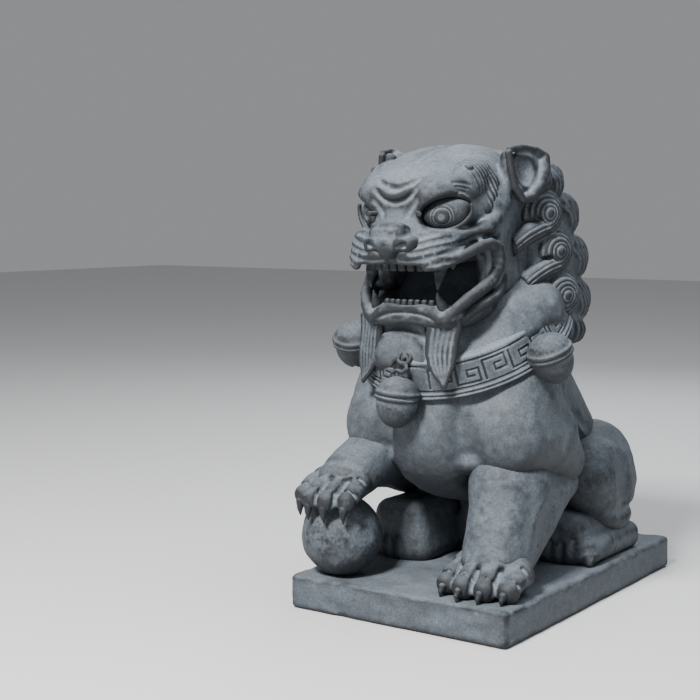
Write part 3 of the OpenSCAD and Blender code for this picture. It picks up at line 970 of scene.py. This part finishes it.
MANE = mane_clay()
use(MANE.cast("mane", 0.7))
for side, word in ((LEFT, "left"), (RIGHT, "right")):
    use(side_piece(side_curls_clay(), word + "_mane_curls", side, 0.5))
use(make_beard("left", 1, LEFT_BEARD))
use(make_beard("right", -1, RIGHT_BEARD))
use(back_curls_clay(MANE).cast("back_mane_curls", 0.5))


# ---------------------------------------------------------------- collar and bells

COLLAR_CENTRE = (0, -121, 592)
COLLAR_TILT = 29
COLLAR_ARC = 116
COLLAR_RADIUS = 240
COLLAR_TAPER = 24
COLLAR_INSIDE = 205
COLLAR_TALL = 84
FRET = ((0, 0), (0, 40), (50, 40), (50, 12), (24, 12), (24, 26), (38, 26))
FRET_PERIOD = 62.0


def fret_depth(s, t):
    """Depth from 0 to 1 of the engraved key pattern, at s along and t up the band, in millimetres."""
    s = np.abs(s) - 34
    step = np.floor(s / FRET_PERIOD)
    u = s - step * FRET_PERIOD
    v = np.where(step % 2 == 1, 40 - t, t)
    gap = np.full(s.shape, 99.0)
    for (a, b), (c, d) in zip(FRET, FRET[1:]):
        along = np.clip(((u - a - 5) * (c - a) + (v - b) * (d - b)) / ((c - a) ** 2 + (d - b) ** 2), 0, 1)
        gap = np.minimum(gap, np.hypot(u - a - 5 - along * (c - a), v - b - along * (d - b)))
    return np.clip((3.6 - gap) / 2.4, 0, 1) * (s > 0)


def make_collar():
    """A cone band wrapped round the neck, open at the back, with its pattern in relief."""
    around = 620
    up = 72
    angle = np.radians(np.linspace(-COLLAR_ARC, COLLAR_ARC, around))
    share = np.linspace(0, 1, up)
    a, v = np.meshgrid(angle, share, indexing="ij")
    # s runs along the band and t up it, in millimetres
    s = a * 232
    t = v * 88 - 4
    relief = np.zeros(a.shape)
    relief -= 2.4 * fret_depth(s, t - 24)
    # double ridge along the bottom, engraved line along the top
    for line, tall, width in ((3, 3.4, 3.2), (11, 2.6, 3.0)):
        relief += tall * np.exp(-((t - line) / width) ** 2)
    relief -= 2.4 * np.exp(-((t - 17) / 1.6) ** 2)
    relief -= 2.6 * np.exp(-((t - 72) / 1.8) ** 2)
    relief -= 5.0 * np.clip((t - 79) / 5, 0, 1) ** 2 + 4.0 * np.clip((-1 - t) / 3, 0, 1)
    edge = np.clip((COLLAR_ARC - np.degrees(np.abs(a))) / 6, 0, 1)
    radius = COLLAR_RADIUS - COLLAR_TAPER * v + relief - 14 * (1 - edge) ** 2
    inner = COLLAR_INSIDE - 26 * share
    rings = np.concatenate([radius, np.tile(inner[::-1], (around, 1))], axis=1)
    heights = np.tile(np.concatenate([share, share[::-1]]) * COLLAR_TALL - 4, (around, 1))
    turn = a[:, :1]
    x, y = rings * np.sin(turn), -rings * np.cos(turn)
    placed = np.stack([x, y, heights], axis=-1) @ turning((COLLAR_TILT, 0, 0)).T
    corners = placed.reshape(-1, 3) + np.array(COLLAR_CENTRE)
    n = rings.shape[1]
    i, j = np.meshgrid(np.arange(around - 1), np.arange(n), indexing="ij")
    i, j = i.ravel(), j.ravel()
    quads = np.stack([i * n + j, (i + 1) * n + j, (i + 1) * n + (j + 1) % n, i * n + (j + 1) % n], axis=1)
    caps = []
    for j in range(n // 2 - 1):
        ring = [j, j + 1, n - 2 - j, n - 1 - j]
        caps.append(ring)
        caps.append([(around - 1) * n + k for k in ring[::-1]])
    quads = np.vstack([quads, np.array(caps)])
    return weathered("collar", corners, quads, 0.6)


def make_knot():
    low, high = box_of("collar_knot")
    clay = Clay(low - 6, high + 6, 1.1)
    base = np.array((-16, -349, 552))
    matrix = facing((0, -0.86, 0.5))

    def at(u, v, w, r):
        return (*(base + matrix @ np.array([u, v, w])), r)

    loops = [at(15 * math.cos(q), 10 + 13 * math.sin(q), 4, 5) for q in np.linspace(0, 2 * math.pi, 17)]
    tail = [at(6, -4, 4, 5), at(14, -14, 4, 5), at(4, -22, 4, 4.6), at(-10, -18, 4, 4), at(-20, -24, 3, 3)]
    hook = [at(-15, 10, 4, 5), at(-26, 4, 3, 4.4), at(-30, -8, 2, 3.4)]
    for line in (loops, tail, hook):
        clay.add(rods(*line), 2)
    clay.add(bone(at(0, 10, 4, 4.4), at(0, 10, 5, 4.4)), 2)
    return clay.cast("collar_knot", 0.3)


def bell_clay(node, roll, turn):
    """A jingle bell: cap, tilted double band, round lower half with a slot."""
    low, high = box_of(node)
    centre, radius = (low + high) / 2, min(high - low) / 2
    clay = Clay(low - 8, high + 8, 1.7)
    matrix = turning((0, roll, turn))
    clay.add(egg(centre, (radius * 0.95, radius * 0.95, radius * 1.18), matrix), 2)

    def at(u, v, w):
        return centre + matrix @ np.array([u, v, w])

    def hoop(wide, height, thick):
        """A ring round the bell, at a height given as a share of its radius."""
        return rods(*[(*at(wide * math.cos(q), wide * math.sin(q), height * radius), thick)
                      for q in np.linspace(0, 2 * math.pi, 41)])

    # the cap is a little proud of the lower half, and two ridges run round between them
    clay.add(egg(at(0, 0, radius * 0.36), (radius, radius, radius * 0.78), matrix), 4)
    for height in (0.42, 0.20):
        clay.add(hoop(radius * 0.985, height, 4.2), 3)
    clay.cut(hoop(radius + 0.8, 0.31, 2.2), 2)
    clay.cut(slab(at(0, 0, -radius * 1.12), (radius * 0.5, 4.2, radius * 0.5), 3, matrix), 3)
    for end in (-1, 1):
        clay.cut(egg(at(end * radius * 0.46, 0, -radius * 0.86), (8, 8, 8)), 3)
    return clay


use(make_collar())
use(make_knot())
for node, roll, turn in (("chest_bell", 6, 20), ("left_bell", -25, 70), ("right_bell", 25, -70)):
    use(bell_clay(node, roll, turn).cast(node, 0.6))


# ---------------------------------------------------------------- stone

def paint_relief_shading(piece):
    """Stores how proud each corner stands: above 0.5 on edges, below in hollows. The material uses it to
    paint highlights on the edges and shade in the hollows.
    """
    mesh = piece.data
    count = len(mesh.vertices)
    co = np.empty(count * 3, np.float32)
    mesh.vertices.foreach_get("co", co)
    co = co.reshape(-1, 3).astype(float)
    edges = np.empty(len(mesh.edges) * 2, np.int32)
    mesh.edges.foreach_get("vertices", edges)
    a, b = edges.reshape(-1, 2).T
    normal = np.empty(count * 3, np.float32)
    mesh.vertices.foreach_get("normal", normal)
    normal = normal.reshape(-1, 3)
    length = np.linalg.norm(co[a] - co[b], axis=1).mean()
    degree = np.maximum(np.bincount(a, minlength=count) + np.bincount(b, minlength=count), 1)

    def around(values):
        return (np.bincount(a, values[b], count) + np.bincount(b, values[a], count)) / degree

    bend = np.zeros(count)
    for axis in range(3):
        bend += (co[:, axis] - around(co[:, axis])) * normal[:, axis]
    bend = bend / length**2
    for _ in range(2):
        bend = (bend + around(bend)) / 2
    sharp = bend.copy()
    for _ in range(max(2, int(0.006 / length) ** 2)):
        bend = (bend + around(bend)) / 2
    total = np.clip(0.5 + 0.0014 * sharp + 0.0040 * bend, 0, 1)
    layer = mesh.attributes.new("wear", "FLOAT", "POINT")
    layer.data.foreach_set("value", total.astype(np.float32))


class Nodes:
    """A short way to write a material's nodes."""

    def __init__(self, material):
        material.use_nodes = True
        self.tree = material.node_tree
        self.tree.nodes.clear()

    def new(self, kind, inputs=(), **settings):
        """A node with its settings, and its inputs by name or number, each linked or set."""
        node = self.tree.nodes.new(kind)
        for key, value in settings.items():
            setattr(node, key, value)
        for key, value in dict(inputs).items():
            if isinstance(value, bpy.types.NodeSocket):
                self.tree.links.new(value, node.inputs[key])
            else:
                node.inputs[key].default_value = value
        return node

    def noise(self, place, scale, detail=4.0, rough=0.55):
        return self.new("ShaderNodeTexNoise", {"Vector": place, "Scale": scale, "Detail": detail,
                                               "Roughness": rough}).outputs["Fac"]

    def ranged(self, value, low, high, out_low=0.0, out_high=1.0):
        return self.new("ShaderNodeMapRange", {"Value": value, "From Min": low, "From Max": high,
                                               "To Min": out_low, "To Max": out_high}).outputs["Result"]

    def mix(self, share, a, b, kind="MIX"):
        return self.new("ShaderNodeMix", {"Factor": share, 6: a, 7: b}, data_type="RGBA",
                        blend_type=kind).outputs[2]

    def maths(self, kind, a, b):
        return self.new("ShaderNodeMath", {0: a, 1: b}, operation=kind).outputs[0]


# The first, darkest colour is painted shade, used in the hollows and on the undersides.
PAINTED_SHADE, BODY, TINT = (0.011, 0.013, 0.016, 1), (0.082, 0.099, 0.119, 1), (0.070, 0.083, 0.098, 1)
# The pale colour paints highlights on edges, as well as pale grain and patches; the dust colour is dust
# together with painted sky light on level tops.
LIGHT, DUST_AND_SKYLIGHT = (0.184, 0.214, 0.250, 1), (0.178, 0.206, 0.238, 1)
DUST_AND_SKYLIGHT_COVER = 0.6


def stone_material():
    """Fine-grained basalt: painted shade in the hollows and on undersides, painted highlights on raised
    edges, dust with painted sky light on level tops.
    """
    material = bpy.data.materials.new("worn_basalt_with_painted_shading")
    n = Nodes(material)
    place = n.new("ShaderNodeTexCoord").outputs["Object"]
    wear = n.new("ShaderNodeAttribute", attribute_name="wear").outputs["Fac"]
    cloud = n.noise(place, 9.0, 5.0)
    patch = n.noise(place, 28.0, 6.0, 0.65)
    grain = n.noise(place, 210.0, 4.0, 0.7)
    fine = n.noise(place, 620.0, 3.0, 0.7)
    proud = n.maths("ADD", wear, n.ranged(patch, 0.3, 0.7, -0.03, 0.03))
    base = n.mix(n.ranged(cloud, 0.36, 0.64), BODY, TINT)
    # painted shade in the hollows
    base = n.mix(n.ranged(proud, 0.5, 0.40), base, PAINTED_SHADE)
    # painted highlights on the raised edges
    base = n.mix(n.ranged(proud, 0.53, 0.70, 0.0, 0.5), base, LIGHT)
    base = n.mix(n.ranged(patch, 0.56, 0.72, 0.0, 0.22), base, LIGHT)
    level = n.new("ShaderNodeSeparateXYZ",
                  {"Vector": n.new("ShaderNodeNewGeometry").outputs["Normal"]}).outputs["Z"]
    # dust together with painted sky light, growing on up-facing tops
    dusty_and_skylit = n.maths("MULTIPLY", n.ranged(level, 0.35, 0.95), n.ranged(cloud, 0.35, 0.62, 0.25, 1.0))
    base = n.mix(n.maths("MULTIPLY", dusty_and_skylit, DUST_AND_SKYLIGHT_COVER), base, DUST_AND_SKYLIGHT)
    # painted shade on the down-facing undersides
    base = n.mix(n.ranged(level, 0.05, -0.60, 0.0, 0.80), base, PAINTED_SHADE)
    specks = n.ranged(grain, 0.35, 0.68, 0.72, 1.32)
    pale = n.ranged(fine, 0.62, 0.74, 0.0, 0.25)
    tone = n.new("ShaderNodeCombineColor", {"Red": specks, "Green": specks, "Blue": specks}).outputs[0]
    base = n.mix(pale, n.mix(1.0, base, tone, "MULTIPLY"), LIGHT)
    height = n.maths("ADD", n.maths("MULTIPLY", grain, 0.55), n.maths("MULTIPLY", patch, 0.8))
    height = n.maths("ADD", height, n.maths("MULTIPLY", fine, 0.25))
    bump = n.new("ShaderNodeBump", {"Strength": 0.55, "Distance": 0.0022, "Height": height}).outputs["Normal"]
    shine = n.ranged(patch, 0.3, 0.7, 0.59, 0.78)
    surface = n.new("ShaderNodeBsdfPrincipled", {"Base Color": base, "Roughness": shine, "Normal": bump,
                                                 "Specular IOR Level": 0.42})
    n.new("ShaderNodeOutputMaterial", {"Surface": surface.outputs[0]})
    return material


def dress():
    stone = stone_material()
    for piece in STONES:
        paint_relief_shading(piece)
        piece.data.materials.append(stone)


# ---------------------------------------------------------------- floor, light and camera

def floor_material():
    material = bpy.data.materials.new("pale_floor")
    n = Nodes(material)
    surface = n.new("ShaderNodeBsdfPrincipled", {"Base Color": (0.66, 0.66, 0.66, 1), "Roughness": 0.9})
    n.new("ShaderNodeOutputMaterial", {"Surface": surface.outputs[0]})
    return material


def lamp(name, place, target, size, power, colour=(1, 1, 1)):
    data = bpy.data.lights.new(name, "AREA")
    data.energy, data.size, data.color = power, size, colour
    light = bpy.data.objects.new(name, data)
    light.location = place
    light.rotation_euler = (Vector(target) - Vector(place)).to_track_quat("-Z", "Y").to_euler()
    bpy.context.scene.collection.objects.link(light)


def studio():
    reach = 14000
    corners = [(-reach, -reach, 0), (reach, -reach, 0), (reach, reach, 0), (-reach, reach, 0)]
    floor = make_mesh("studio_floor", corners, [(0, 1, 2, 3)])
    floor.data.materials.append(floor_material())
    world = bpy.data.worlds.new("soft_daylight")
    world.use_nodes = True
    world.node_tree.nodes["Background"].inputs["Color"].default_value = (0.93, 0.96, 1.0, 1)
    world.node_tree.nodes["Background"].inputs["Strength"].default_value = 0.30
    bpy.context.scene.world = world
    middle = (0, 0, 0.5)
    lamp("key", (0.2, -3.3, 3.4), middle, 0.8, 430, (1.0, 0.99, 0.97))
    lamp("sky", (1.2, 0.2, 4.2), middle, 2.6, 85, (0.90, 0.95, 1.0))
    lamp("back", (-1.0, 3.2, 2.6), middle, 2.0, 40, (0.92, 0.96, 1.0))


CAMERA_PLACE = (1.585, -2.822, 0.873)
CAMERA_YAW = 35.133
CAMERA_PITCH = 5.661
CAMERA_LENS = 72.29


def photographer():
    data = bpy.data.cameras.new("camera")
    data.lens, data.sensor_width = CAMERA_LENS, 36.0
    camera = bpy.data.objects.new("camera", data)
    camera.location = CAMERA_PLACE
    camera.rotation_euler = (math.radians(90 - CAMERA_PITCH), 0, math.radians(CAMERA_YAW))
    bpy.context.scene.collection.objects.link(camera)
    bpy.context.scene.camera = camera


dress()
studio()
photographer()
